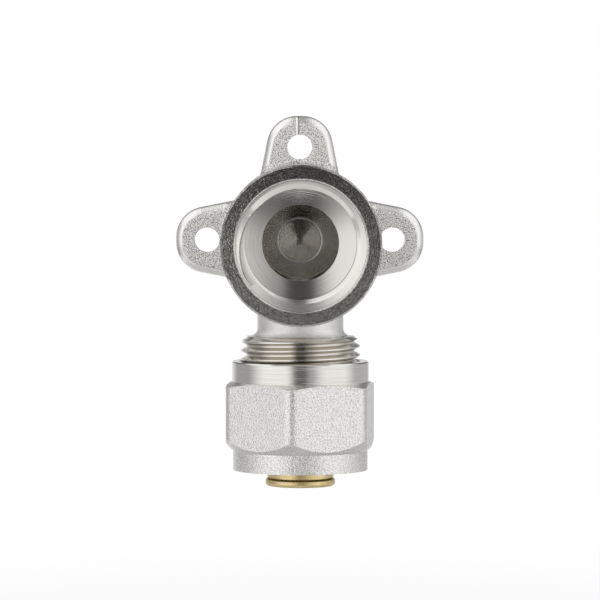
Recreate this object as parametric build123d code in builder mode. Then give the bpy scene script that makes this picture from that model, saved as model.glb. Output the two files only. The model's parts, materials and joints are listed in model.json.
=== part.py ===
from build123d import *
import os
from math import cos, radians, tan

os.makedirs("parts", exist_ok=True)

# Wall plate elbow with a compression end for 16 x 2 mm multilayer pipe.
#
# Millimetres and degrees. X runs to the right, Y into the wall and Z up. The
# origin is on the wall, where the axis of the tap socket meets it. The leg's
# axis hangs down from the socket, parallel to the wall.

# Tap socket: drilled at the crest of a G 1/2 inside thread, and opened to the
# thread's root as far as the thread goes
socket_projection = 33.5
socket_r = 13.2
socket_draft = 0.5
socket_edge_break = 0.3
tap_crest_r = 9.32
tap_thread_depth = 1.16
tap_mouth_step = 0.42
tap_mouth_slope = 30.0
tap_thread_length = 12.4
tap_depth = 15.0

# Water bore behind the tap: a drilled hole whose tip has a narrow land, where
# the pilot drill stopped
water_bore_r = 6.4
pilot_r = 3.62
pilot_land = 0.36
pilot_land_slope = 9.0
drill_tip_slope = 31.0
back_wall = 2.9

# Ears that take the wall screws: one at each side and one on top
ear_thickness = 3.5
ear_hole_r = 2.12
ear_hole_setback = 2.55
ear_end_margin = 5.3
ear_tip_half_width = 4.7
ear_taper = 11.3
ear_corner_r = 5.2
ear_edge_r = 1.65
ear_back_edge = 0.3
ear_root_r = 0.8
ear_first_angle = 0.0
ear_last_angle = 180.0
ear_count = 3

# Pipe that the compression end is made for
pipe_r = 8.0
pipe_wall = 2.0
pipe_clearance = 0.25

# Leg: a forged neck, then a spigot turned at the root of its M20 x 1.5 thread
leg_bore_step = 0.25
neck_wall = 2.95
neck_length = 2.5
neck_root_r = 0.9
neck_flare_r = 1.3
spigot_length = 10.3
spigot_edge = 0.35
seat_depth = 6.5
seat_lead = 0.4

# Compression nut, screwed part of the way on to the spigot
thread_clearance = 0.1
thread_engagement = 6.1
nut_thread_depth = 0.87
nut_thread_length = 10.0
nut_thread_lead = 0.25
nut_wall = 2.62
nut_wall_gap = 0.3745
hex_corner_r = 2.0
hex_clocking = 22.5
hex_length = 11.6
hex_top_slope = 20.7
hex_foot_slope = 43.0
hex_foot_r = 2.5
upper_collar_step = 0.35
upper_collar_length = 3.4
upper_collar_edge = 0.2
lower_collar_step = 0.53
lower_collar_length = 3.2
lower_collar_edge_r = 0.75
nut_lip_length = 1.0
nut_cone_slope = 20.0

# Pipe insert: a spigot in the leg's seat, a flange and a tail for the pipe
tail_clearance = 0.45
tail_wall = 1.55
insert_spigot_wall = 1.95
insert_clearance = 0.05
insert_end_gap = 0.5
insert_lead = 0.4
flange_thickness = 1.5
flange_clearance = 0.28
tail_length = 13.3
bead_clearance = 0.18
bead_length = 1.35
bead_edge_r = 0.5
bead_groove_width = 0.2
bead_groove_depth = 0.35
outlet_chamfer = 0.6

# Sealing rings and their grooves
ring_section = 1.5
seat_ring_squeeze = 0.3
ring_fit = 0.02
groove_floor_depth = 0.8
seat_groove_depth = 1.2
groove_width = 2.0
seat_ring_drop = 2.9
pipe_ring_drops = (3.7, 7.4)

# Insulating washer between the flange and the pipe's aluminium layer
washer_thickness = 1.0
washer_bore_clearance = 0.15

# Split ring that the nut's cone closes on the pipe
split_ring_pipe_gap = 0.1
split_ring_wall = 0.9
split_ring_clearance = 0.18
split_ring_band = 2.88
split_ring_nose = 0.2
split_ring_seat_gap = 0.12
split_ring_slit = 2.0
split_ring_slit_angle = 60.0
split_ring_teeth = 4
tooth_pitch = 0.8
tooth_depth = 0.2
tooth_margin = 0.7

# Selectors allow for this much rounding, and a fillet takes at most this share
# of the straight edge beside it
selector_slack = 0.01
widest_fillet = 0.95

# Places along the socket's axis, from the wall
socket_front_y = -socket_projection
tap_thread_end_y = socket_front_y + tap_thread_length
tap_shoulder_y = socket_front_y + tap_depth
pilot_cone_y = -back_wall - pilot_r * tan(radians(drill_tip_slope))
water_cone_r = pilot_r + pilot_land
water_cone_y = pilot_cone_y - pilot_land * tan(radians(pilot_land_slope))
water_bore_end_y = water_cone_y - (water_bore_r - water_cone_r) * tan(radians(drill_tip_slope))

# Places along the leg's axis, from the socket's axis
spigot_top_z = -socket_r - neck_length
spigot_end_z = spigot_top_z - spigot_length
seat_top_z = spigot_end_z + seat_depth
flange_bottom_z = spigot_end_z - flange_thickness
washer_bottom_z = flange_bottom_z - washer_thickness
insert_top_z = seat_top_z - insert_end_gap
insert_end_z = flange_bottom_z - tail_length
bead_top_z = insert_end_z + bead_length
land_end_z = bead_top_z + bead_groove_width
nut_top_z = spigot_end_z + thread_engagement
hex_top_z = nut_top_z - upper_collar_length
hex_foot_z = hex_top_z - hex_length
nut_bottom_z = hex_foot_z - lower_collar_length
nut_cone_foot_z = nut_bottom_z + nut_lip_length
nut_thread_end_z = nut_top_z - nut_thread_length

# Radii that follow from the fits
tap_root_r = tap_crest_r + tap_thread_depth
tap_mouth_r = tap_root_r + tap_mouth_step
socket_back_r = socket_r - socket_projection * tan(radians(socket_draft))
ear_hole_radius = socket_r + ear_hole_setback
ear_reach = ear_hole_radius + ear_end_margin
tail_r = pipe_r - pipe_wall - tail_clearance
bead_r = pipe_r - pipe_wall - bead_clearance
pipe_groove_r = tail_r - groove_floor_depth
insert_bore_r = tail_r - tail_wall
insert_spigot_r = insert_bore_r + insert_spigot_wall
seat_bore_r = insert_spigot_r + insert_clearance
seat_groove_r = seat_bore_r - seat_groove_depth
leg_bore_r = insert_bore_r + leg_bore_step
neck_r = leg_bore_r + neck_wall
split_ring_inner_r = pipe_r + split_ring_pipe_gap
split_ring_outer_r = split_ring_inner_r + split_ring_wall
split_ring_nose_r = split_ring_inner_r + split_ring_nose
nut_bore_r = split_ring_outer_r + split_ring_clearance
nut_root_r = nut_bore_r + nut_thread_depth
nut_mouth_r = nut_root_r + nut_thread_lead
nut_opening_r = pipe_r + pipe_clearance
spigot_root_r = nut_bore_r - thread_clearance
flange_r = nut_bore_r - flange_clearance
hex_flat_r = nut_bore_r + nut_wall
hex_corner_reach = hex_flat_r / cos(radians(30))
upper_collar_r = hex_flat_r - upper_collar_step
lower_collar_r = hex_flat_r - lower_collar_step

# The leg's axis stands off the wall by the nut's widest reach and a gap
leg_offset = hex_corner_reach + nut_wall_gap

# The nut's cone, and the split ring kept a small gap off it
cone_rise = 1 / tan(radians(nut_cone_slope))
cone_gap = split_ring_seat_gap / cos(radians(nut_cone_slope))
nut_cone_top_z = nut_cone_foot_z + (nut_bore_r - nut_opening_r) * cone_rise
split_ring_bottom_z = nut_cone_foot_z + (split_ring_nose_r + cone_gap - nut_opening_r) * cone_rise
split_ring_cone_z = split_ring_bottom_z + (split_ring_outer_r - split_ring_nose_r) * cone_rise
split_ring_top_z = split_ring_cone_z + split_ring_band

# Planes and axes. In the leg's section X is the radius and Y the height.
socket_axis = Axis((0, 0, 0), (0, -1, 0))
leg_axis = Axis((0, -leg_offset, 0), (0, 0, 1))
leg_section = Plane(origin=(0, -leg_offset, 0), x_dir=(1, 0, 0), z_dir=(0, -1, 0))


def leg_level(height):
    """The plane across the leg at a height."""
    return Plane(origin=(0, -leg_offset, height), x_dir=(1, 0, 0), z_dir=(0, 0, 1))


# Ear outline, pointing along X: a tapered tab with round corners and a hole
with BuildSketch() as ear:
    ear_root_half_width = ear_tip_half_width + ear_reach * tan(radians(ear_taper))
    with BuildLine():
        Polyline(
            (0, ear_root_half_width),
            (ear_reach, ear_tip_half_width),
            (ear_reach, -ear_tip_half_width),
            (0, -ear_root_half_width),
            close=True,
        )
    make_face()
    full_round_r = ear_tip_half_width * tan(radians(45 + ear_taper / 2))
    fillet(ear.vertices().group_by(Axis.X)[-1], min(ear_corner_r, widest_fillet * full_round_r))

# Elbow body: one brass forging, then bored, turned and threaded
with BuildPart() as elbow_body:
    # Back plate: the ears round a disc that the socket stands on
    with BuildSketch(Plane.XZ):
        Circle(socket_back_r - ear_edge_r)
        with PolarLocations(
            0,
            ear_count,
            start_angle=ear_first_angle,
            angular_range=ear_last_angle - ear_first_angle,
            endpoint=True,
        ):
            add(ear.sketch)
    extrude(amount=ear_thickness)
    fillet(elbow_body.faces().sort_by(Axis.Y)[0].edges(), ear_edge_r)
    chamfer(elbow_body.faces().sort_by(Axis.Y)[-1].edges(), ear_back_edge)

    # Socket, a little wider at its front
    with BuildSketch(Plane.XY):
        with BuildLine():
            Polyline(
                (0, 0),
                (socket_back_r, 0),
                (socket_r, socket_front_y + socket_edge_break),
                (socket_r - socket_edge_break, socket_front_y),
                (0, socket_front_y),
                close=True,
            )
        make_face()
    revolve(axis=socket_axis)
    ear_front = elbow_body.edges().filter_by(GeomType.CIRCLE).filter_by_position(
        Axis.Y, -ear_thickness - selector_slack, -ear_thickness + selector_slack
    )
    ear_roots = ear_front.filter_by(lambda edge: edge.radius > socket_back_r)
    ear_sides = elbow_body.edges().filter_by(
        lambda edge: edge.bounding_box().size.Y > ear_thickness / 2
        and edge.bounding_box().min.Y > -2 * ear_thickness
        and abs(Vector(edge.center().X, 0, edge.center().Z).length - socket_back_r) < ear_root_r
    )
    fillet(ear_roots + ear_sides, ear_root_r)

    # Neck and spigot, turned about the leg's axis
    with BuildSketch(leg_section) as leg_outline:
        with BuildLine():
            Polyline(
                (0, 0),
                (neck_r, 0),
                (neck_r, spigot_top_z),
                (spigot_root_r, spigot_top_z),
                (spigot_root_r, spigot_end_z),
                (0, spigot_end_z),
                close=True,
            )
        make_face()
        spigot_shoulder = widest_fillet * (spigot_root_r - neck_r) - spigot_edge
        flare_r = min(neck_flare_r, spigot_shoulder)
        fillet(leg_outline.vertices().sort_by_distance((neck_r, spigot_top_z))[0], flare_r)
        chamfer(leg_outline.vertices().group_by(Axis.X)[-1], spigot_edge)
    revolve(axis=leg_axis)

    # Forged roots, where the ears and the neck leave the socket
    neck_root = elbow_body.edges().filter_by(
        lambda edge: edge.geom_type not in (GeomType.CIRCLE, GeomType.LINE)
        and edge.center().Z < -socket_r / 2
        and edge.bounding_box().max.Y < -ear_thickness
    )
    fillet(neck_root, neck_root_r)

    # Tap chamber and the water bore behind it
    with BuildSketch(Plane.XY):
        with BuildLine():
            Polyline(
                (0, socket_front_y),
                (tap_mouth_r, socket_front_y),
                (tap_root_r, socket_front_y + tap_mouth_step * tan(radians(tap_mouth_slope))),
                (tap_root_r, tap_thread_end_y),
                (tap_crest_r, tap_thread_end_y + tap_thread_depth),
                (tap_crest_r, tap_shoulder_y),
                (water_bore_r, tap_shoulder_y),
                (water_bore_r, water_bore_end_y),
                (water_cone_r, water_cone_y),
                (pilot_r, pilot_cone_y),
                (0, -back_wall),
                close=True,
            )
        make_face()
    revolve(axis=socket_axis, mode=Mode.SUBTRACT)

    # Leg bore up to the water bore, and the seat that holds the pipe insert
    with BuildSketch(leg_section):
        with BuildLine():
            Polyline(
                (0, 0),
                (leg_bore_r, 0),
                (leg_bore_r, seat_top_z),
                (seat_bore_r, seat_top_z),
                (seat_bore_r, spigot_end_z + seat_lead),
                (seat_bore_r + seat_lead, spigot_end_z),
                (0, spigot_end_z),
                close=True,
            )
        make_face()
    revolve(axis=leg_axis, mode=Mode.SUBTRACT)

    # Screw holes through the ears
    with BuildSketch(Plane.XZ):
        with PolarLocations(
            ear_hole_radius,
            ear_count,
            start_angle=ear_first_angle,
            angular_range=ear_last_angle - ear_first_angle,
            endpoint=True,
        ):
            Circle(ear_hole_r)
    extrude(amount=ear_thickness, mode=Mode.SUBTRACT)
elbow_body.part.label = "elbow_body"

# Compression nut: a hexagon prism kept inside one turned section
with BuildPart() as compression_nut:
    with BuildSketch(leg_level(nut_bottom_z)):
        hexagon = RegularPolygon(hex_flat_r, 6, major_radius=False, rotation=hex_clocking)
        fillet(hexagon.vertices(), hex_corner_r)
    extrude(amount=nut_top_z - nut_bottom_z)
    with BuildSketch(leg_section) as nut_section:
        top_chamfer = (hex_corner_reach - upper_collar_r) * tan(radians(hex_top_slope))
        foot_chamfer = (hex_corner_reach - lower_collar_r) * tan(radians(hex_foot_slope))
        with BuildLine():
            Polyline(
                (nut_mouth_r, nut_top_z),
                (upper_collar_r, nut_top_z),
                (upper_collar_r, hex_top_z),
                (hex_corner_reach, hex_top_z - top_chamfer),
                (hex_corner_reach, hex_foot_z + foot_chamfer),
                (lower_collar_r, hex_foot_z),
                (lower_collar_r, nut_bottom_z),
                (nut_opening_r, nut_bottom_z),
                (nut_opening_r, nut_cone_foot_z),
                (nut_bore_r, nut_cone_top_z),
                (nut_bore_r, nut_thread_end_z - nut_thread_depth),
                (nut_root_r, nut_thread_end_z),
                (nut_root_r, nut_top_z - nut_thread_lead),
                close=True,
            )
        make_face()
        corners = nut_section.vertices()
        chamfer(corners.sort_by_distance((upper_collar_r, nut_top_z))[0], upper_collar_edge)
        foot_corner = corners.sort_by_distance((hex_corner_reach, hex_foot_z + foot_chamfer))[0]
        foot_turn = radians(90 - hex_foot_slope)
        fillet(foot_corner, min(hex_foot_r, widest_fillet * foot_chamfer / tan(foot_turn / 2)))
        fillet(corners.sort_by_distance((lower_collar_r, nut_bottom_z))[0], lower_collar_edge_r)
    revolve(axis=leg_axis, mode=Mode.INTERSECT)
compression_nut.part.label = "compression_nut"

# Pipe insert: turned bare brass, seated in the leg and carrying the pipe
with BuildPart() as pipe_insert:
    with BuildSketch(leg_section) as insert_section:
        with BuildLine():
            Polyline(
                (insert_bore_r, insert_top_z),
                (insert_spigot_r, insert_top_z),
                (insert_spigot_r, spigot_end_z),
                (flange_r, spigot_end_z),
                (flange_r, flange_bottom_z),
                (tail_r, flange_bottom_z),
                (tail_r, land_end_z),
                (tail_r - bead_groove_depth, land_end_z),
                (tail_r - bead_groove_depth, bead_top_z),
                (bead_r, bead_top_z),
                (bead_r, insert_end_z),
                (insert_bore_r, insert_end_z),
                close=True,
            )
        make_face()
        corners = insert_section.vertices()
        bead_corners = corners.filter_by(lambda corner: abs(corner.X - bead_r) < selector_slack)
        fillet(bead_corners, min(bead_edge_r, widest_fillet * bead_length / 2))
        chamfer(corners.sort_by_distance((insert_spigot_r, insert_top_z))[0], insert_lead)
        chamfer(corners.sort_by_distance((insert_bore_r, insert_end_z))[0], outlet_chamfer)
    revolve(axis=leg_axis)

    # Groove for the ring that seals in the leg, and those that seal in the pipe
    seat_groove = (seat_groove_r, insert_spigot_r, insert_top_z - seat_ring_drop)
    pipe_grooves = [(pipe_groove_r, tail_r, flange_bottom_z - drop) for drop in pipe_ring_drops]
    for floor_r, wall_r, height in [seat_groove] + pipe_grooves:
        with BuildSketch(leg_level(height - groove_width / 2)):
            Circle(wall_r)
            Circle(floor_r, mode=Mode.SUBTRACT)
        extrude(amount=groove_width, mode=Mode.SUBTRACT)
pipe_insert.part.label = "pipe_insert"

# Seat ring, squeezed flat between its groove and the leg's seat
with BuildPart() as insert_seat_o_ring:
    seat_ring_height = insert_top_z - seat_ring_drop
    squeezed = seat_groove_depth - 2 * ring_fit
    with BuildSketch(leg_section):
        with Locations((seat_bore_r - seat_groove_depth / 2, seat_ring_height)):
            flattened = ring_section + seat_ring_squeeze
            RectangleRounded(squeezed, flattened, widest_fillet * squeezed / 2)
    revolve(axis=leg_axis)
insert_seat_o_ring.part.label = "insert_seat_o_ring"

# Pipe rings, round and proud of the tail until a pipe goes over them
pipe_o_rings = []
for drop, name in zip(pipe_ring_drops, ("pipe_o_ring_upper", "pipe_o_ring_lower")):
    with BuildPart() as pipe_o_ring:
        with BuildSketch(leg_section):
            with Locations((pipe_groove_r + ring_fit + ring_section / 2, flange_bottom_z - drop)):
                Circle(ring_section / 2)
        revolve(axis=leg_axis)
    pipe_o_ring.part.label = name
    pipe_o_rings.append(pipe_o_ring)

# Insulating washer under the flange
with BuildPart() as insulating_washer:
    with BuildSketch(leg_level(washer_bottom_z)):
        Circle(flange_r)
        Circle(tail_r + washer_bore_clearance, mode=Mode.SUBTRACT)
    extrude(amount=washer_thickness)
insulating_washer.part.label = "insulating_washer"

# Split ring: a coned sleeve with teeth inside and a slit down one side
with BuildPart() as split_ring:
    with BuildSketch(leg_section):
        with BuildLine():
            Polyline(
                (split_ring_inner_r, split_ring_bottom_z),
                (split_ring_nose_r, split_ring_bottom_z),
                (split_ring_outer_r, split_ring_cone_z),
                (split_ring_outer_r, split_ring_top_z),
                (split_ring_inner_r, split_ring_top_z),
                close=True,
            )
        make_face()
        for tooth in range(split_ring_teeth):
            root_z = split_ring_top_z - tooth_margin - tooth * tooth_pitch
            with BuildLine():
                Polyline(
                    (split_ring_inner_r, root_z),
                    (split_ring_inner_r + tooth_depth, root_z),
                    (split_ring_inner_r, root_z - tooth_pitch),
                    close=True,
                )
            make_face(mode=Mode.SUBTRACT)
    revolve(axis=leg_axis)
    with BuildSketch(leg_level(split_ring_bottom_z).rotated((0, 0, split_ring_slit_angle))):
        with Locations((split_ring_outer_r / 2, 0)):
            Rectangle(split_ring_outer_r, split_ring_slit)
    extrude(amount=split_ring_top_z - split_ring_bottom_z, mode=Mode.SUBTRACT)
split_ring.part.label = "split_ring"

for piece in [
    elbow_body,
    compression_nut,
    split_ring,
    pipe_insert,
    insert_seat_o_ring,
    *pipe_o_rings,
    insulating_washer,
]:
    export_step(piece.part, f"parts/{piece.part.label}.step")
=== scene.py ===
# %% [markdown]
# Wall plate elbow. It is screwed to a wall, takes a tap's thread in its socket,
# and holds a water pipe under the nut on its leg. The machined parts come from
# the CAD frame at their real size, and stay where they are. This script gives
# them their finishes, cuts the threads that the solids leave off, and sets up the
# camera and the light.

# %% Load the frame
import json
from math import pi, radians, tan

import bpy
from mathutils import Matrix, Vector


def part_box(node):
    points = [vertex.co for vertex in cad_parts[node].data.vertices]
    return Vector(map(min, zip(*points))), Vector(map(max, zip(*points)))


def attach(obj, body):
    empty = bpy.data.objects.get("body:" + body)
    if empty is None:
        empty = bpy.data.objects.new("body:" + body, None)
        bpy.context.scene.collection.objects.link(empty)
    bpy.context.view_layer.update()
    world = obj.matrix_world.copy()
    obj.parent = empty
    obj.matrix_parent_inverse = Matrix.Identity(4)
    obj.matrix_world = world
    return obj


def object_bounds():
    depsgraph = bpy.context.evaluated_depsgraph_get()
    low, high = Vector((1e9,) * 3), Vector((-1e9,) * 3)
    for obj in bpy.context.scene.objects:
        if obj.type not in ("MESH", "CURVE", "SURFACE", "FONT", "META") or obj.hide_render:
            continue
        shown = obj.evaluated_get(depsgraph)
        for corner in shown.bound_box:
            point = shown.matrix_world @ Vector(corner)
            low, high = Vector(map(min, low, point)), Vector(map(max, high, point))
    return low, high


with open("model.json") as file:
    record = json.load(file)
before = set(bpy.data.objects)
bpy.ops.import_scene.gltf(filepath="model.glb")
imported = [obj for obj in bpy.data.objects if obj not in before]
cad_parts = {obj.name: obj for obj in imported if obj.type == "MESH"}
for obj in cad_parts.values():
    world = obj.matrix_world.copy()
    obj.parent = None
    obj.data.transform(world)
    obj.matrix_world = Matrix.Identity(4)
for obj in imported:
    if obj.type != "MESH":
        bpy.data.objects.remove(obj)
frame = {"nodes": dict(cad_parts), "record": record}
bpy.ops.object.select_all(action="DESELECT")
cad_low, cad_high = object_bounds()
print("CAD box", [round(1000 * v, 1) for v in (*cad_low, *cad_high)], "mm")

# %% [markdown]
# Every place below is worked out from the frame, so that the script still fits if
# the CAD model changes a little. The mounts say where the tap thread is and how
# wide its root is, and the nodes' boxes say where the leg and the nut begin and
# end. Lengths are in metres, and MM turns millimetres into them.

# %% Measure the frame
MM = 0.001
mounts = {mount["name"]: mount for mount in frame["record"]["mounts"]}
tap_mount = mounts["tap_thread"]
body_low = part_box("elbow_body")[0]
nut_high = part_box("compression_nut")[1]

LEG_Y = mounts["pipe_tail"]["pos_m"][1]
SOCKET_FRONT = body_low.y
SPIGOT_END = body_low.z
TAP_ROOT = tap_mount["dims"]["r_mm"] * MM
EAR_THICKNESS = mounts["top_fixing_hole"]["dims"]["length_mm"] * MM
print("leg axis at y", LEG_Y, "and its end at z", round(SPIGOT_END, 4))
print("socket front at y", round(SOCKET_FRONT, 4), "and its thread's root radius", round(TAP_ROOT, 5))


# %% [markdown]
# A material can be wired up node by node, but its maths reads best as plain
# expressions. A Wire wraps one output socket, so that `1 - mask` or `radius * 2`
# adds the Math node that it stands for.

# %% Shader maths
class Wire:
    """One output socket whose operators add Math nodes."""

    def __init__(self, nodes, socket):
        self.nodes = nodes
        self.socket = socket

    def _math(self, operation, *values):
        return self.nodes.node("ShaderNodeMath", {"operation": operation}, dict(enumerate(values)))

    def __add__(self, other):
        return self._math("ADD", self, other)

    __radd__ = __add__

    def __sub__(self, other):
        return self._math("SUBTRACT", self, other)

    def __rsub__(self, other):
        return self._math("SUBTRACT", other, self)

    def __mul__(self, other):
        return self._math("MULTIPLY", self, other)

    __rmul__ = __mul__

    def __truediv__(self, other):
        return self._math("DIVIDE", self, other)

    def __rtruediv__(self, other):
        return self._math("DIVIDE", other, self)

    def __abs__(self):
        return self._math("ABSOLUTE", self)

    def root(self):
        return self._math("SQRT", self)

    def wave(self):
        return self._math("SINE", self)

    def most(self, other):
        return self._math("MAXIMUM", self, other)

    def step(self, low, high):
        """0 below low, 1 above high, and a smooth rise between them. Low may be above high."""
        settings = {"interpolation_type": "SMOOTHSTEP"}
        values = {"Value": self, "From Min": low, "From Max": high}
        return self.nodes.node("ShaderNodeMapRange", settings, values)


# %% [markdown]
# Materials and the world both hold a tree of nodes. One method adds every other
# kind of node to either of them: it takes the node's type, its settings, and the
# values or wires of its sockets.

# %% Trees of nodes
class Nodes:
    """A tree of nodes, and what adds nodes to it."""

    def node(self, kind, settings, values, output=0):
        made = self.tree.nodes.new(kind)
        for key, value in settings.items():
            setattr(made, key, value)
        for key, value in values.items():
            if isinstance(value, Wire):
                self.tree.links.new(value.socket, made.inputs[key])
            else:
                made.inputs[key].default_value = value
        return Wire(self, made.outputs[output])

    def split(self, vector):
        parts = self.node("ShaderNodeSeparateXYZ", {}, {0: vector}).socket.node.outputs
        return [Wire(self, part) for part in parts]

    def join(self, x, y, z):
        return self.node("ShaderNodeCombineXYZ", {}, {0: x, 1: y, 2: z})

    def mix(self, share, first, second):
        """A colour between two colours, by a share from 0 to 1."""
        return self.node("ShaderNodeMix", {"data_type": "RGBA"}, {0: share, 6: first, 7: second}, 2)

    def noise(self, place, size, detail, rough=0.5):
        """Noise from 0 to 1 whose lumps are about `size` millimetres wide."""
        values = {"Vector": place, "Scale": 1 / size, "Detail": detail, "Roughness": rough}
        return self.node("ShaderNodeTexNoise", {}, values)


# %% [markdown]
# A Finish is one material. It measures in millimetres from the object's origin,
# because Object coordinates stay with the piece when it moves, and tool marks are
# easiest to think of in millimetres.

# %% Finishes
class Finish(Nodes):
    """A procedural material built round one Principled shader."""

    def __init__(self, name):
        self.material = bpy.data.materials.new(name)
        self.material.use_nodes = True
        self.tree = self.material.node_tree
        self.shader = self.tree.nodes["Principled BSDF"]
        place = self.node("ShaderNodeTexCoord", {}, {}, "Object")
        self.place = self.node("ShaderNodeVectorMath", {"operation": "SCALE"}, {0: place, "Scale": 1 / MM})
        self.x, self.y, self.z = self.split(self.place)

    def bump(self, height):
        """Relief from a height in millimetres."""
        normal = self.node("ShaderNodeBump", {}, {"Strength": 1.0, "Distance": MM, "Height": height})
        self.tree.links.new(normal.socket, self.shader.inputs["Normal"])

    def set(self, **values):
        for key, value in values.items():
            socket = self.shader.inputs[key.replace("_", " ").title()]
            if isinstance(value, Wire):
                self.tree.links.new(value.socket, socket)
            else:
                socket.default_value = value


def paint(node, finish):
    """Gives a CAD node its finish through its material slots."""
    slots = frame["nodes"][node].material_slots
    for slot in slots:
        slot.material = finish.material
    print(node, "painted with", finish.material.name, "of", len(finish.tree.nodes), "nodes")


# %% [markdown]
# Most finishes need the same few things: a colour, a value between two others,
# and the distance from the axis that the piece was turned round.

# %% Colours, shares and distances
def colour(red, green, blue):
    return (red, green, blue, 1.0)


def blend(share, first, second):
    """A value between two values, by a share from 0 to 1."""
    return first + share * (second - first)


def round_axis(first, second):
    """The distance from an axis and the direction from it, as two shares of 1."""
    reach = (first * first + second * second).root()
    return reach, (first / reach, second / reach)


# %% [markdown]
# Blasting leaves lumps and pits, a lathe leaves long scratches round its axis,
# and a drill leaves even rings. Each is a height in millimetres for the Bump
# node. Its size and its steepness are asked for separately, because the size
# decides how fine it looks and the steepness how strongly it catches the light.

# %% Marks of the tools
LUMP_HEIGHT = 2.6


def lumps(finish, place, size, steepness):
    """Lumps `size` wide whose sides rise by about `steepness`."""
    return finish.noise(place, size, 1.0) * (LUMP_HEIGHT * steepness * size)


def tool_marks(finish, along, share, size, steepness, streak):
    """Scratches round an axis, `size` wide and about `streak` radians long.

    `along` is the distance that the tool fed, and `share` the direction from the
    axis.
    """
    place = finish.join(along, share[0] * (size / streak), share[1] * (size / streak))
    return lumps(finish, place, size, steepness)


def rings(along, size, steepness):
    """Even rings, `size` wide."""
    return (along * (2 * pi / size)).wave() * (steepness * size / (2 * pi))


# %% [markdown]
# The elbow is one brass forging, blasted and then plated with nickel. Where a
# lathe cut it afterwards it is smooth and shiny: inside the socket, on the
# socket's front and on the threaded leg. The CAD part is a single mesh, so one
# material does both finishes, and tells the zones apart by their distance from
# the socket's axis, from the leg's axis and from the front. A mask is 1 in its
# zone and 0 outside it, with a border soft over a fifth of a millimetre or less.
# The front's borders are ragged, because its blasted edges were only skimmed.

# %% Where the elbow was turned
MOUTH_WIDTH = 0.42
GRAIN_SIZE = 0.22
RAGGED = 0.4
BORE_END = -2.5
SPIGOT_TOP = -15.5
FACE_DEPTH = 0.34

body = Finish("nickel_body_finish")
socket_r, socket_share = round_axis(body.x, body.z)
leg_r, leg_share = round_axis(body.x, body.y - LEG_Y / MM)
depth = body.y - SOCKET_FRONT / MM
tap_r = TAP_ROOT / MM
mouth_r = tap_r + MOUTH_WIDTH
grain = body.noise(body.place, GRAIN_SIZE, 3.0)
ragged = grain * RAGGED - RAGGED / 2

inside = socket_r.step(mouth_r + 0.15, mouth_r + 0.05) * body.y.step(BORE_END + 0.1, BORE_END - 0.1)
face = (depth + ragged * 0.5).step(FACE_DEPTH, FACE_DEPTH - 0.04)
ring = face * (socket_r + ragged).step(mouth_r - 0.03, mouth_r + 0.03)
spigot = body.z.step(SPIGOT_TOP, SPIGOT_TOP - 0.1)
turned = inside.most(face).most(spigot)
print("the mouth is", round(mouth_r, 2), "mm in radius")

# %% [markdown]
# Behind the tap thread the socket has a slanted shoulder, and then the bore for
# the water. A drill made the bore: its point left a cone in the middle, and its
# shoulder a flat land round it, with an edge between the two that gets a painted highlight.

# %% Zones behind the tap thread
SHOULDER_DEPTH = 15.0
WATER_BORE_R = 6.4
DRILL_R = 3.66
DRILL_EDGE = 0.14

bore = inside * depth.step(SHOULDER_DEPTH + 0.1, SHOULDER_DEPTH + 0.2)
shoulder = depth.step(SHOULDER_DEPTH - 0.1, SHOULDER_DEPTH - 0.05) * (inside - bore)
land = bore * socket_r.step(DRILL_R - 0.06, DRILL_R + 0.04)
land = land * socket_r.step(WATER_BORE_R - 0.05, WATER_BORE_R - 0.1)
# The edge's mask also carries its painted highlight, a pale colour along it.
drill_edge_highlight = bore * (1 - abs(socket_r - DRILL_R) / DRILL_EDGE).most(0.0)
print("the shoulder is", SHOULDER_DEPTH, "mm deep, and the bore", WATER_BORE_R, "mm in radius")

# %% [markdown]
# The scratches inside the socket and on the leg are fine and shallow. Those on
# the front are coarse, and its inner edge is rounded over by wear. The drill's
# rings are the steepest: they throw the light of the whole tent about, so the
# bore looks evenly grey in spite of its depth.

# %% Tool marks on the elbow
WEAR_WIDTH = 0.2
WEAR = 1.8
RING_LEAN = 0.04
EDGE_HEIGHT = 0.04
LAND_SHARE = 0.85

bore_marks = tool_marks(body, socket_r + body.y, socket_share, size=0.16, steepness=0.02, streak=0.6)
spigot_marks = tool_marks(body, body.z + leg_r, leg_share, size=0.15, steepness=0.02, streak=3.0)
drill_marks = rings(socket_r, size=0.1, steepness=0.3) * blend(land, 1.0, LAND_SHARE)
drill_marks = drill_marks * (1 - drill_edge_highlight) + drill_edge_highlight * EDGE_HEIGHT
ring_marks = tool_marks(body, socket_r, socket_share, size=0.2, steepness=0.05, streak=0.09)
ring_marks = lumps(body, body.place, size=0.28, steepness=0.05) + ring_marks
worn_edge = (mouth_r + WEAR_WIDTH - socket_r).most(0.0)
ring_marks = ring_marks - socket_r * RING_LEAN - worn_edge * worn_edge * WEAR
print("the front is worn for", round(WEAR_WIDTH, 2), "mm round the mouth")

# %% [markdown]
# Three turned faces lean a little more than they do in the mesh, as a worn tool
# leaves them: the shoulder, the slanted face where the first turn of the tap
# thread is cut away, and the inner half of the lip. The lean is relief too,
# because it only shows in what the face reflects.

# %% Lean of the turned faces
SHOULDER_LEAN = 0.2
SHOULDER_CURVE = 0.05
TAP_LEAD = radians(40)
LEAD_DEPTH = 0.49
LEAD_LEAN = 0.56
LIP_DEPTH = 0.3
LIP_INSET = 0.2
LIP_LEAN = 0.3

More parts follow.
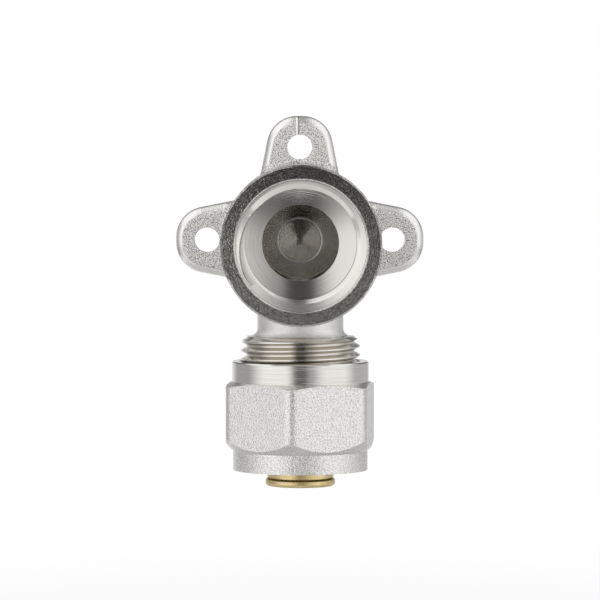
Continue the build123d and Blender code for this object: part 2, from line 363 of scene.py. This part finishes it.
from_lead = abs(depth - LEAD_DEPTH - (tap_r - socket_r) * tan(TAP_LEAD))
lead = from_lead.step(0.07, 0.04) * socket_r.step(tap_r + 0.03, tap_r)
lip = depth.step(LIP_DEPTH, LIP_DEPTH - 0.04) * socket_r.step(tap_r, tap_r + 0.03)
lip = lip * socket_r.step(mouth_r - LIP_INSET + 0.06, mouth_r - LIP_INSET)
across = socket_r - WATER_BORE_R
leans = (across + across * across * SHOULDER_CURVE) * SHOULDER_LEAN * shoulder
leans = leans - (socket_r - tap_r) * (lead * LEAD_LEAN + lip * LIP_LEAN)
print("the tap thread begins", LEAD_DEPTH, "mm behind the front")

# %% [markdown]
# The two halves of the forging die met in the middle of the upper ear, and left
# a fine groove there with a slanted strip beside it, both free of pits. They are
# little more than a tenth of a millimetre deep, so relief shows them as well as a
# cut in the mesh would. They stop short of the flat back, which has a mask here.

# %% Seam on the upper ear
SEAM_X = -0.25
SEAM_FOOT = 17.5
STRIP_WIDTH = 0.37
STRIP_SLOPE = 0.25
GROOVE_X = 0.06
GROOVE_WIDTH = 0.13
GROOVE_DEPTH = 0.14

back = body.y.step(-0.4, -0.2)
above_hole = body.z.step(SEAM_FOOT, SEAM_FOOT + 0.3) * (1 - back)
from_seam = body.x - SEAM_X
strip = (from_seam + STRIP_WIDTH).most(0.0) * from_seam.step(-0.08, -0.13) * STRIP_SLOPE
groove_line = (1 - abs(from_seam - GROOVE_X) / GROOVE_WIDTH).most(0.0)
seam = (strip - groove_line * GROOVE_DEPTH) * above_hole
calm = from_seam.step(-STRIP_WIDTH - 0.05, -STRIP_WIDTH) * from_seam.step(0.2, 0.12) * above_hole
print("the seam is at x", SEAM_X, "mm, above z", SEAM_FOOT, "mm")

# %% [markdown]
# Blasting left round pits all over the forging. They are deepest on the flat
# fronts of the ears and at their foot beside the socket, and shallow on the
# rounded edges. The noise that gives the pits their depth also paints shade on
# their floors, so that painted shade and relief stay together. This painted shade
# is darkest on the ears' flat fronts and at their foot, and palest on the neck.

# %% Blasted skin of the elbow
PIT_SIZE = 0.22
PIT_DEPTHS = {"back": 0.15, "body": 0.22, "ear edges": 0.07, "ear fronts": 0.36}
PIT_SHADES = {"back": 0.25, "body": 0.3, "neck": 0.12, "ear edges": 0.08, "ear fronts": 1.0}
EAR_FOOT = (14.2, 13.4)
PIT_FLOOR = (0.5, 0.38)

ear_front = -EAR_THICKNESS / MM
ears = body.y.step(ear_front - 0.8, ear_front - 0.4)
flat_or_foot = body.y.step(ear_front + 0.12, ear_front + 0.04).most(socket_r.step(*EAR_FOOT))
ear_fronts = ears * flat_or_foot
neck = body.z.step(-11.0, -12.0)
ear_depth = blend(ear_fronts, PIT_DEPTHS["ear edges"], PIT_DEPTHS["ear fronts"])
ear_shade = blend(ear_fronts, PIT_SHADES["ear edges"], PIT_SHADES["ear fronts"])
body_shade = blend(neck, PIT_SHADES["body"], PIT_SHADES["neck"])

pits = body.noise(body.place, PIT_SIZE, 2.0)
pit_depth = blend(back, blend(ears, PIT_DEPTHS["body"], ear_depth), PIT_DEPTHS["back"]) * (1 - calm)
pit_shade = blend(back, blend(ears, body_shade, ear_shade), PIT_SHADES["back"]) * (1 - calm)
skin = pits * (LUMP_HEIGHT * PIT_SIZE) * pit_depth + seam
# The seam's groove takes the pit floors' colour, a painted shade in the groove.
dark = (pits.step(*PIT_FLOOR) * pit_shade).most(groove_line * above_hole)
print("pits", PIT_SIZE, "mm wide, with the ears' fronts", round(-ear_front, 2), "mm from the wall")

# %% [markdown]
# Each relief counts only in its own zone, and their sum feeds one Bump node.

# %% Relief of the elbow
relief = bore_marks * (inside - bore) + drill_marks * bore + leans * inside
relief = relief + spigot_marks * spigot + ring_marks * ring
body.bump(relief + skin * (1 - turned))
print("relief of the elbow", len(body.tree.nodes), "nodes so far")

# %% [markdown]
# Nickel is a warm grey. It is palest on the blasted skin, whose small faces
# scatter the light. Darker colours are painted shade: on the slanted shoulder and
# deep in the bore, where shade falls, and in the leg thread's grooves. The front is
# painted darkest, a painted shade that darkens what it reflects, with paler streaks
# round it, more of them towards the bottom. The drill's edge gets a painted highlight.

# %% Colours of the turned zones
NICKEL = colour(0.745, 0.728, 0.69)
# Painted shade on the shoulder, and also the colour of the front's paler streaks.
SHOULDER_SHADE_AND_STREAK_NICKEL = colour(0.66, 0.645, 0.61)
# Painted shade on the front.
FRONT_SHADE_NICKEL = colour(0.27, 0.26, 0.24)
# Painted shade deep in the bore: the darker cone and the darker land.
BORE_CONE_SHADE_NICKEL = colour(0.66, 0.645, 0.615)
LAND_SHADE_NICKEL = colour(0.46, 0.445, 0.42)
# Painted shade in the leg thread's grooves.
GROOVE_SHADE_NICKEL = colour(0.63, 0.60, 0.55)
# The blasted skin's pale colour, and also the painted highlight on the drill's edge.
BLASTED_AND_HIGHLIGHT_NICKEL = colour(0.87, 0.86, 0.84)
GROOVE_R = (9.85, 9.35)
STREAK_REACH = 3.3
STREAKS_BELOW = 0.006
STREAK_NOISE = (0.41, 0.6)

streak_place = body.join(socket_r, socket_share[0] * STREAK_REACH, socket_share[1] * STREAK_REACH)
streaks = body.noise(streak_place, 0.2, 2.0)
pale_streaks = (grain * 0.5 + streaks * 0.5 - body.z * STREAKS_BELOW).step(*STREAK_NOISE)
# The front's colour is a painted shade, paler in the streaks.
ring_colour = body.mix(pale_streaks, FRONT_SHADE_NICKEL, SHOULDER_SHADE_AND_STREAK_NICKEL)
# The cone and the land are painted darker, a painted shade deep in the bore.
bore_colour = body.mix(drill_edge_highlight, body.mix(land, BORE_CONE_SHADE_NICKEL, LAND_SHADE_NICKEL), BLASTED_AND_HIGHLIGHT_NICKEL)
# The shoulder's grey is a painted shade, where the deep socket shades it.
turned_colour = body.mix(shoulder, body.mix(bore, NICKEL, bore_colour), SHOULDER_SHADE_AND_STREAK_NICKEL)
# The thread's grooves get a painted shade.
turned_colour = body.mix(spigot * leg_r.step(*GROOVE_R), turned_colour, GROOVE_SHADE_NICKEL)
turned_colour = body.mix(ring, turned_colour, ring_colour)
print("nickel from", FRONT_SHADE_NICKEL[:3], "to", BLASTED_AND_HIGHLIGHT_NICKEL[:3])

# %% [markdown]
# The blasted skin is a little rougher than the turned metal, and not quite all
# metal, which stands for the light that bounces about in its pits. The tap's cut
# face and the lip are slightly rougher too.

# %% Nickel on the elbow
# Painted shade in the floors of the pits.
PIT_SHADE_NICKEL = colour(0.30, 0.29, 0.27)
TURNED_ROUGHNESS = 0.13
BLASTED_ROUGHNESS = 0.25
BLASTED_METAL = 0.9
CUT_ROUGHNESS = 0.12

body.set(
    base_color=body.mix(turned, body.mix(dark, BLASTED_AND_HIGHLIGHT_NICKEL, PIT_SHADE_NICKEL), turned_colour),
    metallic=blend(turned, BLASTED_METAL, 1.0),
    roughness=blend(turned, BLASTED_ROUGHNESS, TURNED_ROUGHNESS) + lead.most(lip) * CUT_ROUGHNESS,
)
paint("elbow_body", body)

# %% [markdown]
# The nut's flats and its lower collar are blasted like the elbow, but its upper
# collar was turned afterwards, so tool marks run round it as fine level lines.
# Its bore and its thread are turned as well.

# %% Where the nut was turned
UPPER_COLLAR = 3.4 * MM
NUT_ROOT = 10.05 * MM

nut = Finish("nickel_nut_finish")
nut_r, nut_share = round_axis(nut.x, nut.y - LEG_Y / MM)
collar_foot = (nut_high.z - UPPER_COLLAR) / MM
bored = nut_r.step(NUT_ROOT / MM + 0.3, NUT_ROOT / MM + 0.2)
collar = nut.z.step(collar_foot - 0.03, collar_foot + 0.03).most(bored)
collar_marks = tool_marks(nut, nut.z + nut_r, nut_share, size=0.16, steepness=0.08, streak=1.2)
print("the collar starts at z", round(collar_foot, 2), "mm")

# %% [markdown]
# The pits on the nut are wider and shallower than on the ears, and their floors
# get painted shade as on the elbow. Its skin is shinier.

# %% Nickel on the nut
NUT_PIT_SIZE = 0.25
NUT_PIT_DEPTH = 0.16
NUT_PIT_SHADE = 0.345
NUT_PIT_FLOOR = (0.56, 0.36)
NUT_ROUGHNESS = 0.17

nut_pits = nut.noise(nut.place, NUT_PIT_SIZE, 2.0)
nut_skin = nut_pits * (LUMP_HEIGHT * NUT_PIT_SIZE * NUT_PIT_DEPTH)
# Painted shade on the pit floors, as on the elbow.
nut_shade = nut_pits.step(*NUT_PIT_FLOOR) * NUT_PIT_SHADE
nut.bump(collar_marks * collar + nut_skin * (1 - collar))
nut.set(
    base_color=nut.mix(collar, nut.mix(nut_shade, BLASTED_AND_HIGHLIGHT_NICKEL, PIT_SHADE_NICKEL), NICKEL),
    metallic=blend(collar, BLASTED_METAL, 1.0),
    roughness=blend(collar, NUT_ROUGHNESS, TURNED_ROUGHNESS),
)
paint("compression_nut", nut)

# %% [markdown]
# The insert and the split ring are bare brass from the lathe, with a slight
# tarnish in wide soft patches. The insert's bore is drilled and rougher, and
# painted dark brown, a painted shade inside it.

# %% Bare brass
DRILLED_R = 4.2
PATCH_SIZE = 2.4
CLEAN_BRASS = colour(0.80, 0.66, 0.36)
TARNISHED_BRASS = colour(0.70, 0.55, 0.27)
BORE_SHADE_BRASS = colour(0.22, 0.17, 0.09)
BRASS_ROUGHNESS = 0.24
TARNISH_ROUGHNESS = 0.14
DRILLED_ROUGHNESS = 0.3

brass = Finish("bare_brass_finish")
brass_r, brass_share = round_axis(brass.x, brass.y - LEG_Y / MM)
# The drilled bore is rougher, and painted dark as a painted shade inside it.
drilled_shaded_bore = brass_r.step(DRILLED_R + 0.1, DRILLED_R - 0.1)
tarnish = brass.noise(brass.place, PATCH_SIZE, 3.0, 0.6)
bright = brass.mix(tarnish.step(0.3, 0.75), CLEAN_BRASS, TARNISHED_BRASS)
brass.bump(tool_marks(brass, brass.z + brass_r, brass_share, size=0.2, steepness=0.04, streak=2.0))
brass.set(
    base_color=brass.mix(drilled_shaded_bore, bright, BORE_SHADE_BRASS),
    metallic=1.0,
    roughness=BRASS_ROUGHNESS + tarnish * TARNISH_ROUGHNESS + drilled_shaded_bore * DRILLED_ROUGHNESS,
)
for node in ("pipe_insert", "split_ring"):
    paint(node, brass)

# %% [markdown]
# The sealing rings are black rubber with a faint bloom, the pale film that
# rubber gets as it ages.

# %% Rubber
BLACK_RUBBER = colour(0.018, 0.018, 0.019)
BLOOMED_RUBBER = colour(0.04, 0.04, 0.042)
BLOOM_HEIGHT = 0.01
RUBBER_ROUGHNESS = 0.42
BLOOM_ROUGHNESS = 0.2

rubber = Finish("seal_rubber_finish")
bloom = rubber.noise(rubber.place, 0.9, 3.0, 0.6)
rubber.bump(bloom * BLOOM_HEIGHT)
rubber.set(
    base_color=rubber.mix(bloom, BLACK_RUBBER, BLOOMED_RUBBER),
    roughness=RUBBER_ROUGHNESS + bloom * BLOOM_ROUGHNESS,
)
for node in ("insert_seat_o_ring", "pipe_o_ring_upper", "pipe_o_ring_lower"):
    paint(node, rubber)

# %% [markdown]
# The washer keeps the pipe's aluminium off the brass. It is a white plastic,
# which is never a pure white.

# %% White plastic
WHITE_PLASTIC = colour(0.84, 0.84, 0.82)
SHADED_PLASTIC = colour(0.78, 0.78, 0.75)
PLASTIC_HEIGHT = 0.006
PLASTIC_ROUGHNESS = 0.4
MOTTLE_ROUGHNESS = 0.1

washer = Finish("white_washer_finish")
mottle = washer.noise(washer.place, 0.5, 2.0)
washer.bump(mottle * PLASTIC_HEIGHT)
washer.set(
    base_color=washer.mix(mottle, WHITE_PLASTIC, SHADED_PLASTIC),
    roughness=PLASTIC_ROUGHNESS + mottle * MOTTLE_ROUGHNESS,
)
paint("insulating_washer", washer)


# %% [markdown]
# The solids stop at the root of each thread. A thread could be faked with level
# rings, but real crests climb as they go round, and that shows beside the level
# top of the nut. So a ridge is wound by the Screw modifier from one flat profile,
# and a boolean with a turned blank then cuts it as a lathe would.

# %% Select and apply
def apply_modifiers(piece):
    bpy.context.view_layer.objects.active = piece
    for modifier in list(piece.modifiers):
        bpy.ops.object.modifier_apply(modifier=modifier.name)


def select_by_place(piece, chosen):
    """Selects the vertices of a piece in edit mode whose place passes the test `chosen`."""
    bpy.ops.object.mode_set(mode="OBJECT")
    for part in (piece.data.polygons, piece.data.edges, piece.data.vertices):
        part.foreach_set("select", [False] * len(part))
    for vertex in piece.data.vertices:
        vertex.select = chosen(vertex.co)
    bpy.ops.object.mode_set(mode="EDIT")
    bpy.ops.mesh.select_mode(type="VERT")


# %% [markdown]
# The profile is a plane with one side made shorter, which gives a thread's two
# flanks. The Screw modifier sweeps it round the axis and along it, one pitch for
# each turn, and leaves both ends open. They are filled, so that the ridge is a
# solid that a boolean can cut.

# %% Wind a ridge
STEPS_PER_TURN = 96


def draw_profile(name, root, crest, foot_width, crest_width):
    """A flat profile round its own middle, `foot_width` at the root and `crest_width` at the crest."""
    outwards = 1 if crest > root else -1
    bpy.ops.mesh.primitive_plane_add(size=1.0)
    profile = bpy.context.object
    profile.name = name
    bpy.ops.object.mode_set(mode="EDIT")
    bpy.ops.transform.resize(value=(abs(crest - root), foot_width, 1.0))
    select_by_place(profile, lambda co: co.x * outwards > 0)
    bpy.ops.transform.resize(value=(1.0, crest_width / foot_width, 1.0), center_override=(0, 0, 0))
    bpy.ops.mesh.select_all(action="SELECT")
    return profile


def wind_ridge(name, axis, root, crest, foot_width, crest_width, pitch, start, turns):
    """A helical ridge round the Z or Y axis through the origin, capped at both ends."""
    ridge = draw_profile(name, root, crest, foot_width, crest_width)
    middle = (root + crest) / 2
    if axis == "Z":
        bpy.ops.transform.rotate(value=pi / 2, orient_axis="X", center_override=(0, 0, 0))
        bpy.ops.transform.translate(value=(middle, 0, start))
    else:
        bpy.ops.transform.translate(value=(middle, start, 0))
    bpy.ops.object.mode_set(mode="OBJECT")
    screw = ridge.modifiers.new("wind", "SCREW")
    screw.axis = axis
    screw.angle = 2 * pi
    screw.screw_offset = pitch
    screw.iterations = turns
    screw.steps = screw.render_steps = STEPS_PER_TURN
    apply_modifiers(ridge)
    bpy.ops.object.mode_set(mode="EDIT")
    bpy.ops.mesh.select_all(action="DESELECT")
    bpy.ops.mesh.select_non_manifold()
    bpy.ops.mesh.fill()
    bpy.ops.mesh.select_all(action="SELECT")
    bpy.ops.mesh.normals_make_consistent(inside=False)
    bpy.ops.object.mode_set(mode="OBJECT")
    return ridge


# %% [markdown]
# A blank is what a lathe would leave: a body of revolution. It starts as a cone
# between its first two sections, and its top face is extruded and resized to
# reach each of the others.

# %% Turn a blank
BLANK_SIDES = 128
SAME_PLACE = 1e-6


def turned_blank(name, axis, sections):
    """A solid of revolution through (place along the axis, radius) sections, in rising order."""
    (first, first_r), (second, second_r) = sections[:2]
    bpy.ops.mesh.primitive_cone_add(
        vertices=BLANK_SIDES,
        radius1=first_r,
        radius2=second_r,
        depth=second - first,
        location=(0, 0, (first + second) / 2),
    )
    blank = bpy.context.object
    blank.name = name
    bpy.ops.object.transform_apply()
    for (below, below_r), (above, above_r) in zip(sections[1:], sections[2:]):
        select_by_place(blank, lambda co: co.z > below - SAME_PLACE)
        bpy.ops.mesh.extrude_region_move(TRANSFORM_OT_translate={"value": (0, 0, above - below)})
        share = above_r / below_r
        bpy.ops.transform.resize(value=(share, share, 1.0), center_override=(0, 0, above))
    bpy.ops.object.mode_set(mode="OBJECT")
    if axis == "Y":
        blank.data.transform(blank.matrix_world.Rotation(-pi / 2, 4, "X"))
    return blank


# %% [markdown]
# An outside thread is what a ridge and its blank share, and an inside thread is
# the ridge without its blank. The finished ridge is moved to its axis in its
# mesh, so that its object stays at the origin, and it rides the body that it is
# cut on.

# %% Cut and finish a ridge
SMOOTH_BELOW = radians(35)


def cut(ridge, blank, operation):
    boolean = ridge.modifiers.new("cut", "BOOLEAN")
    boolean.operation = operation
    boolean.solver = "EXACT"
    boolean.object = blank
    apply_modifiers(ridge)
    bpy.data.objects.remove(blank)


def finish_ridge(ridge, finish, body_name):
    bpy.ops.object.select_all(action="DESELECT")
    ridge.select_set(True)
    bpy.context.view_layer.objects.active = ridge
    bpy.ops.object.shade_smooth_by_angle(angle=SMOOTH_BELOW)
    ridge.data.materials.clear()
    ridge.data.materials.append(finish.material)
    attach(ridge, body_name)
    print(ridge.name, "faces", len(ridge.data.polygons))


# %% [markdown]
# The leg's thread is M20 x 1.5. Its crests show above the nut, where the last
# turn is lower and wider and runs out into the neck, and they go on inside the
# nut, so that they are still there when the nut is screwed down. SINK buries the
# ridge's foot in the solid, so that no gap shows between them. The ridge stands a
# trace too high, and the blank takes that off, which leaves a flat crest. The
# phase is the height at which one crest starts, so that the crests stand where
# the photograph shows them.

# %% Wind the leg's thread
LEG_PITCH = 1.5 * MM
LEG_ROOT = 9.08 * MM
LEG_CREST = 10.0 * MM
LEG_CREST_PHASE = -17.35 * MM
SINK = 0.15 * MM

leg_ridge = wind_ridge(
    "spigot_thread",
    axis="Z",
    root=LEG_ROOT - SINK,
    crest=LEG_CREST + 0.02 * MM,
    foot_width=1.34 * MM,
    crest_width=0.18 * MM,
    pitch=LEG_PITCH,
    start=LEG_CREST_PHASE - 8 * LEG_PITCH,
    turns=10,
)
print("the leg's ridge has", len(leg_ridge.data.polygons), "faces before it is cut")

# %% [markdown]
# The blank starts as a cone, the lead that lets a nut find the thread. At its
# other end it steps down by 0.2 mm for the lower last turn, and then runs out.

# %% Cut the leg's thread
LAST_CREST = LEG_CREST - 0.2 * MM

leg_blank = turned_blank(
    "leg_blank",
    "Z",
    [
        (SPIGOT_END + 0.02 * MM, LEG_ROOT - 0.35 * MM),
        (SPIGOT_END + 1.25 * MM, LEG_CREST),
        (SPIGOT_END + 8.95 * MM, LEG_CREST),
        (SPIGOT_END + 9.0 * MM, LAST_CREST),
        (SPIGOT_END + 9.7 * MM, LAST_CREST),
        (SPIGOT_END + 10.25 * MM, LEG_ROOT - 0.1 * MM),
    ],
)
cut(leg_ridge, leg_blank, "INTERSECT")
leg_ridge.data.transform(leg_ridge.matrix_world.Translation((0, LEG_Y, 0)))
finish_ridge(leg_ridge, body, "elbow")

# %% [markdown]
# The nut's thread fits between the leg's crests, half a pitch away from them, and
# its ridge runs inwards from the root that the nut is bored to. It turns with the
# nut, at the pitch of the leg's thread, so the two never touch.

# %% Wind the nut's thread
NUT_CREST = 9.2 * MM

nut_ridge = wind_ridge(
    "nut_thread",
    axis="Z",
    root=NUT_ROOT + SINK,
    crest=NUT_CREST - 0.05 * MM,
    foot_width=1.3 * MM,
    crest_width=0.16 * MM,
    pitch=LEG_PITCH,
    start=LEG_CREST_PHASE - 9.5 * LEG_PITCH,
    turns=9,
)
print("the nut's ridge has", len(nut_ridge.data.polygons), "faces before it is cut")

# %% [markdown]
# The nut's blank is what its ridge has to leave free: the leg's room in the
# middle, a chamfer at the mouth, and all that lies below the thread's end.

# %% Cut the nut's thread
NUT_THREAD_LENGTH = 10 * MM
NUT_MOUTH = NUT_ROOT + 0.25 * MM
NUT_RELIEF = NUT_ROOT + 0.4 * MM
nut_thread_end = nut_high.z - NUT_THREAD_LENGTH

nut_blank = turned_blank(
    "nut_blank",
    "Z",
    [
        (nut_thread_end - 4 * MM, NUT_RELIEF),
        (nut_thread_end - 0.35 * MM, NUT_RELIEF),
        (nut_thread_end - 0.3 * MM, NUT_CREST),
        (nut_high.z - (NUT_MOUTH - NUT_CREST), NUT_CREST),
        (nut_high.z + 1 * MM, NUT_MOUTH + 1 * MM),
        (nut_high.z + 4 * MM, NUT_MOUTH + 1 * MM),
    ],
)
cut(nut_ridge, nut_blank, "DIFFERENCE")
nut_ridge.data.transform(nut_ridge.matrix_world.Translation((0, LEG_Y, 0)))
finish_ridge(nut_ridge, nut, "nut")

# %% [markdown]
# The socket's thread is G 1/2, cut by a tap. Its ridge runs inwards round the Y
# axis, and begins in front of the mouth, where the blank cuts it off. Its phase
# is the share of a turn that decides where the cut's crescents lie.

# %% Wind the socket's thread
TAP_PITCH = 1.814 * MM
TAP_CREST = TAP_ROOT - 1.16 * MM
TAP_PHASE = 0.33

tap_ridge = wind_ridge(
    "socket_thread",
    axis="Y",
    root=TAP_ROOT + SINK,
    crest=TAP_CREST - 0.05 * MM,
    foot_width=1.8 * MM,
    crest_width=0.35 * MM,
    pitch=TAP_PITCH,
    start=SOCKET_FRONT + (TAP_PHASE - 2) * TAP_PITCH,
    turns=10,
)
print("the socket's ridge has", len(tap_ridge.data.polygons), "faces before it is cut")

# %% [markdown]
# Behind the mouth's chamfer the blank narrows at 40 degrees. It cuts the first
# turn away at a slant, which leaves the bright crescents that show at the mouth.
# At the far end it opens again, where the tap thread has run out.

# %% Cut the socket's thread
TAP_MOUTH = TAP_ROOT + MOUTH_WIDTH * MM
TAP_RELIEF = TAP_ROOT + 0.3 * MM
MOUTH_SLOPE = radians(30)
lead_start = SOCKET_FRONT + LEAD_DEPTH * MM
thread_end = tap_mount["pos_m"][1] + tap_mount["dims"]["length_mm"] * MM / 2

tap_blank = turned_blank(
    "tap_blank",
    "Y",
    [
        (SOCKET_FRONT - 5 * MM, TAP_MOUTH + 1 * MM),
        (SOCKET_FRONT - 0.5 * MM, TAP_MOUTH + 0.5 * MM / tan(MOUTH_SLOPE)),
        (SOCKET_FRONT + (TAP_MOUTH - TAP_ROOT) * tan(MOUTH_SLOPE), TAP_ROOT),
        (lead_start, TAP_ROOT),
        (lead_start + (TAP_ROOT - TAP_CREST) * tan(TAP_LEAD), TAP_CREST),
        (thread_end + 0.5 * MM, TAP_CREST),
        (thread_end + 0.6 * MM, TAP_RELIEF),
        (thread_end + 6.0 * MM, TAP_RELIEF),
    ],
)
cut(tap_ridge, tap_blank, "DIFFERENCE")
finish_ridge(tap_ridge, body, "elbow")

# %% [markdown]
# The photograph was taken from about 0.7 m with a long lens. The camera stands a
# little above the socket and looks slightly down, at the point whose picture
# falls in the middle of the frame. The lens follows from the width of the frame,
# which is 600 pixels, and from the distance in pixels at which the picture's
# angles fit.

# %% Camera
CAMERA_PLACE = Vector((-5.0, -688.5, 23.0)) * MM
AIM = Vector((0.007336, 1.0, -0.048476))
FOCAL_PIXELS = 4035
FRAME_PIXELS = 600

camera_data = bpy.data.cameras.new("camera")
camera_data.sensor_width = 36.0
camera_data.lens = FOCAL_PIXELS / FRAME_PIXELS * camera_data.sensor_width
camera_data.clip_start = 0.01
camera = bpy.data.objects.new("camera", camera_data)
bpy.context.scene.collection.objects.link(camera)
camera.location = CAMERA_PLACE
camera.rotation_euler = AIM.to_track_quat("-Z", "Y").to_euler()
bpy.context.scene.camera = camera
print("lens", round(camera_data.lens), "mm")


# %% [markdown]
# Plain studio light: a light tent with a slot for the camera. Polished metal
# shows what stands round it, so lamps alone would leave it black between their
# highlights. The tent is painted on the world instead, by the direction that a
# ray leaves in.

# %% The world as a tent
class Surroundings(Nodes):
    """The world's nodes, with the direction in place of the place."""

    def __init__(self, name):
        world = bpy.data.worlds.new(name)
        world.use_nodes = True
        bpy.context.scene.world = world
        self.tree = world.node_tree
        self.shader = self.tree.nodes["Background"]
        direction = self.node("ShaderNodeTexCoord", {}, {}, "Generated")
        self.x, self.y, self.z = self.split(direction)


tent = Surroundings("light_tent")
print("world", bpy.context.scene.world.name)

# %% [markdown]
# The tent's bright sides give the bright bands on the cylinders, and the dark
# slot, which runs up over the part, gives the dark band between them. The sides
# end behind the part, where the room is dimmer. Each pair of numbers says where a
# side starts or ends and where that is complete, as a part of the ray's
# direction: x is to the right, and y is away from the camera.

# %% Slot and sides
SLOT_LIGHT = 0.08
LOW_SLOT_LIGHT = 0.24
LEFT_LIGHT = 1.15
LEFT_BACK_LIGHT = 0.43
RIGHT_LIGHT = 1.1
RIGHT_EDGE_LIGHT = 0.42
RIGHT_BACK_LIGHT = 0.55
LEFT_SIDE = (-0.09, -0.42)
LEFT_END = (-0.5, 0.2)
RIGHT_EDGE = (0.12, 0.27)
RIGHT_SIDE = (0.25, 0.72)
RIGHT_END = (-0.24, 0.34)
SLOT_SPREAD = 0.8

aside = tent.x * (1 + tent.z.most(0.0) * SLOT_SPREAD)
level = tent.z.step(0.55, 0.3)
slot_ends = tent.z.step(0.15, -0.2).most(tent.z.step(0.5, 1.0))
slot = blend(slot_ends, SLOT_LIGHT, LOW_SLOT_LIGHT)
left = blend(tent.y.step(*LEFT_END) * level, LEFT_LIGHT, LEFT_BACK_LIGHT)
right = blend(tent.y.step(*RIGHT_END) * level, RIGHT_LIGHT, RIGHT_BACK_LIGHT)
light = blend(aside.step(*LEFT_SIDE), slot, left)
light = blend(aside.step(*RIGHT_EDGE), light, RIGHT_EDGE_LIGHT)
light = blend(aside.step(*RIGHT_SIDE), light, right)
print("the tent's sides are", round(LEFT_LIGHT / SLOT_LIGHT), "times as bright as its slot")

# %% [markdown]
# The tent is dimmer towards the table and dark high up behind the part. The
# backdrop is white again, for the camera and in reflections. It is turned a
# little to the left and ends lower down at the top, as the bright rims of the
# ears and of the nut show.

# %% Table, ceiling and backdrop
LOW_SHARE = 0.5
NADIR_LIGHT = 0.45
HIGH_BACK_LIGHT = 0.2
BACKDROP_LIGHT = 0.95
BACKDROP_TURN = 0.14
BACKDROP_FALL = 0.4
BACKDROP_EDGE = (0.78, 1.05)

low = tent.z.step(-0.08, -0.4)
nadir = tent.z.step(-0.6, -0.85)
high_back = tent.y.step(0.4, 0.7) * tent.z.step(0.0, 0.3)
backdrop = (tent.y - tent.x * BACKDROP_TURN - tent.z.most(0.0) * BACKDROP_FALL).step(*BACKDROP_EDGE)
light = light * blend(low, 1.0, LOW_SHARE)
light = blend(nadir, light, NADIR_LIGHT)
light = blend(high_back, light, HIGH_BACK_LIGHT)
light = blend(backdrop, light, BACKDROP_LIGHT)
camera_ray = tent.node("ShaderNodeLightPath", {}, {}, "Is Camera Ray")
glass_ray = tent.node("ShaderNodeLightPath", {}, {}, "Is Transmission Ray")
light = blend(camera_ray.most(glass_ray), light, 1.0)
tent.tree.links.new(light.socket, tent.shader.inputs["Color"])
print("tent", len(tent.tree.nodes), "nodes")

# %% [markdown]
# A small pale floor lies below the part and keeps its soft shadow. A plain
# circle is enough, because towards its edge it fades into the white backdrop, for
# the camera and in reflections.

# %% Floor
FLOOR_DROP = 25 * MM
FLOOR_R = 150 * MM
FLOOR_COLOUR = colour(0.8, 0.8, 0.8)
FLOOR_ROUGHNESS = 0.9

bpy.ops.mesh.primitive_circle_add(
    vertices=64, radius=FLOOR_R, fill_type="NGON", location=(0, 0, cad_low.z - FLOOR_DROP)
)
floor = bpy.context.object
floor.name = "floor"
floor_finish = Finish("pale_floor")
floor_finish.set(base_color=FLOOR_COLOUR, roughness=FLOOR_ROUGHNESS)
floor.data.materials.append(floor_finish.material)
print("floor at z", round(floor.location.z, 4))

# %% [markdown]
# The fade is a Mix Shader between the floor and a white glow. Its factor knows
# whether a ray comes from the camera or from a reflection, so the glow lights
# nothing.

# %% Fade of the floor
FADE_START = 40
FADE_END = 0.9 * FLOOR_R / MM
NEAR_GLOW = 0.9

seen = floor_finish.node("ShaderNodeLightPath", {}, {}, "Is Camera Ray")
mirrored = floor_finish.node("ShaderNodeLightPath", {}, {}, "Is Glossy Ray")
far = round_axis(floor_finish.x, floor_finish.y)[0].step(FADE_START, FADE_END)
share = seen * blend(far, NEAR_GLOW, 1.0) + mirrored * far * NEAR_GLOW
lit = Wire(floor_finish, floor_finish.shader.outputs[0])
glow = floor_finish.node("ShaderNodeEmission", {}, {"Color": colour(1, 1, 1), "Strength": 1.0})
shown = floor_finish.node("ShaderNodeMixShader", {}, {0: share, 1: lit, 2: glow})
output = floor_finish.tree.nodes["Material Output"]
floor_finish.tree.links.new(shown.socket, output.inputs["Surface"])
print("the floor fades from", FADE_START, "to", round(FADE_END), "mm")

# %% [markdown]
# The Standard view shows a colour about as it is written.

# %% View settings
bpy.context.scene.view_settings.view_transform = "Standard"
